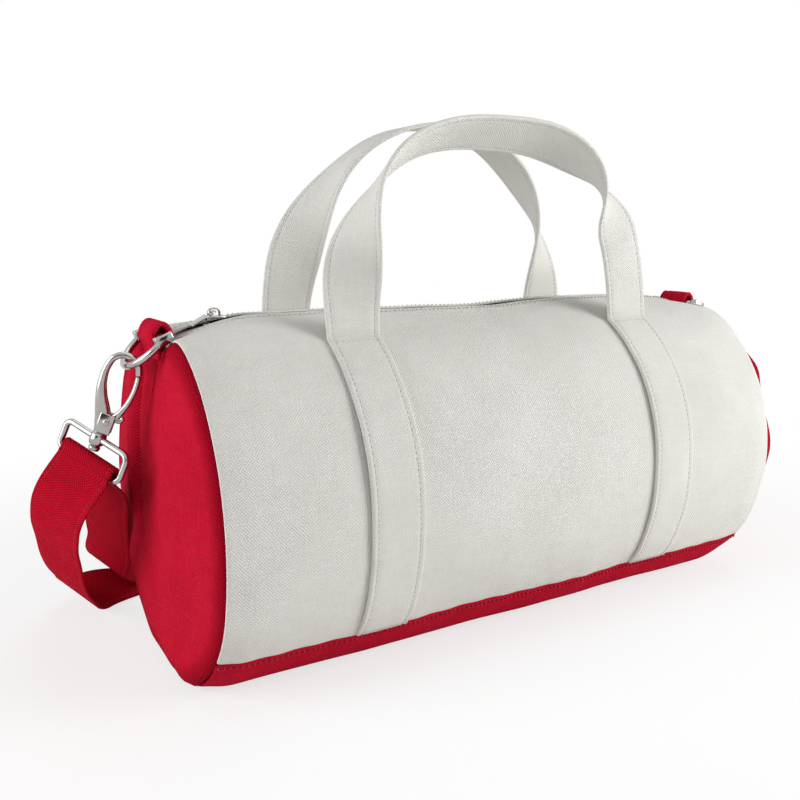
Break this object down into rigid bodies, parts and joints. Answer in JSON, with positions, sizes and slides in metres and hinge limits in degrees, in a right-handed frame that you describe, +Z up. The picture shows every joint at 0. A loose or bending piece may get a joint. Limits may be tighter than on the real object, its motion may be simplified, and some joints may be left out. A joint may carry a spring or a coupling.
{
  "type": "barrel bag",
  "caption": "Small barrel-shaped canvas sports bag with a zip along the top, carrying handles, ends and base in a second colour, and a clip-on shoulder strap.",
  "frame": {"origin": "middle of the flat face that the bag rests on, under the middle of the barrel", "axes": "+X along the barrel towards the end away from the closed zip slider, +Y towards the back where the strap lies, +Z up"},
  "size_m": [0.5322, 0.2675, 0.3142],
  "materials": {
    "cream_canvas": "heavy cotton canvas, diagonal weave",
    "red_canvas": "heavy cotton canvas",
    "red_webbing": "folded cotton webbing, stitched near its edges",
    "cream_tape": "thin woven tape",
    "nickel": "polished nickel plate"
  },
  "bodies": {
    "bag": {"back_panel": "cream_canvas", "back_strip_left": "cream_canvas", "back_strip_right": "cream_canvas", "bottom_panel": "red_canvas", "front_panel": "cream_canvas", "front_strip_left": "cream_canvas", "front_strip_right": "cream_canvas", "left_binding": "cream_tape", "left_end_panel": "red_canvas", "left_tab": "red_canvas", "right_binding": "cream_tape", "right_end_panel": "red_canvas", "right_tab": "red_canvas", "shoulder_strap": "red_webbing", "strap_glide": "nickel", "zip_stop_left": "nickel", "zip_stop_right": "nickel", "zip_tape_back": "cream_tape", "zip_tape_front": "cream_tape", "zip_teeth_back": "nickel", "zip_teeth_front": "nickel"},
    "zip_slider": {"zip_slider": "nickel"},
    "zip_pull": {"zip_pull": "nickel"},
    "front_handle": {"front_handle": "cream_canvas"},
    "back_handle": {"back_handle": "cream_canvas"},
    "left_dring": {"left_dring": "nickel"},
    "left_bail": {"left_bail": "nickel"},
    "left_hook": {"left_hook": "nickel", "left_rivet": "nickel", "left_spring": "nickel"},
    "left_gate": {"left_gate": "nickel"},
    "right_dring": {"right_dring": "nickel"},
    "right_bail": {"right_bail": "nickel"},
    "right_hook": {"right_hook": "nickel", "right_rivet": "nickel", "right_spring": "nickel"},
    "right_gate": {"right_gate": "nickel"}
  },
  "joints": [
    {"name": "zip_slide", "type": "slide", "parent": "bag", "child": "zip_slider", "axis": [1, 0, 0], "range_m": [-0.012, 0.345]},
    {"name": "zip_pull_hinge", "type": "hinge", "parent": "zip_slider", "child": "zip_pull", "pos_m": [-0.168, 0, 0.2019], "axis": [0, 1, 0], "range_deg": [0, 175]},
    {"name": "front_handle_fold", "type": "hinge", "parent": "bag", "child": "front_handle", "pos_m": [0, -0.04932, 0.18823], "axis": [1, 0, 0], "range_deg": [-11, 115]},
    {"name": "back_handle_fold", "type": "hinge", "parent": "bag", "child": "back_handle", "pos_m": [0, 0.04932, 0.18823], "axis": [-1, 0, 0], "range_deg": [-11, 115]},
    {"name": "left_bail_swing", "type": "hinge", "parent": "bag", "child": "left_bail", "pos_m": [-0.23788, 0.01367, 0.12107], "axis": [0.4822, -0.7933, -0.3718], "range_deg": [-8, 0]},
    {"name": "left_dring_swing", "type": "hinge", "parent": "bag", "child": "left_dring", "pos_m": [-0.2062, 0, 0.195], "axis": [0, 1, 0], "range_deg": [-13, 0]},
    {"name": "left_hook_swivel", "type": "hinge", "parent": "left_bail", "child": "left_hook", "pos_m": [-0.23788, 0.01367, 0.12107], "axis": [0.3281, -0.2301, 0.9162], "range_deg": [-3, 45]},
    {"name": "left_gate_hinge", "type": "hinge", "parent": "left_hook", "child": "left_gate", "pos_m": [-0.22785, 0.00689, 0.14503], "axis": [-0.4624, -0.8848, -0.0566], "range_deg": [0, 25], "stiffness_Nm_per_rad": 0.02, "springref_deg": -14.32},
    {"name": "right_bail_swing", "type": "hinge", "parent": "bag", "child": "right_bail", "pos_m": [0.23788, 0.01367, 0.12107], "axis": [0.4822, 0.7933, 0.3718], "range_deg": [-8, 0]},
    {"name": "right_dring_swing", "type": "hinge", "parent": "bag", "child": "right_dring", "pos_m": [0.2062, 0, 0.195], "axis": [0, -1, 0], "range_deg": [-13, 0]},
    {"name": "right_hook_swivel", "type": "hinge", "parent": "right_bail", "child": "right_hook", "pos_m": [0.23788, 0.01367, 0.12107], "axis": [0.3281, 0.2301, -0.9162], "range_deg": [-3, 45]},
    {"name": "right_gate_hinge", "type": "hinge", "parent": "right_hook", "child": "right_gate", "pos_m": [0.23032, 0.00811, 0.14622], "axis": [0.4624, -0.8848, -0.0566], "range_deg": [0, 25], "stiffness_Nm_per_rad": 0.02, "springref_deg": -14.32}
  ],
  "couplings": [
    {"joint": "left_dring_swing", "follows": "left_bail_swing", "ratio": 1.6},
    {"joint": "right_dring_swing", "follows": "right_bail_swing", "ratio": 1.6}
  ]
}
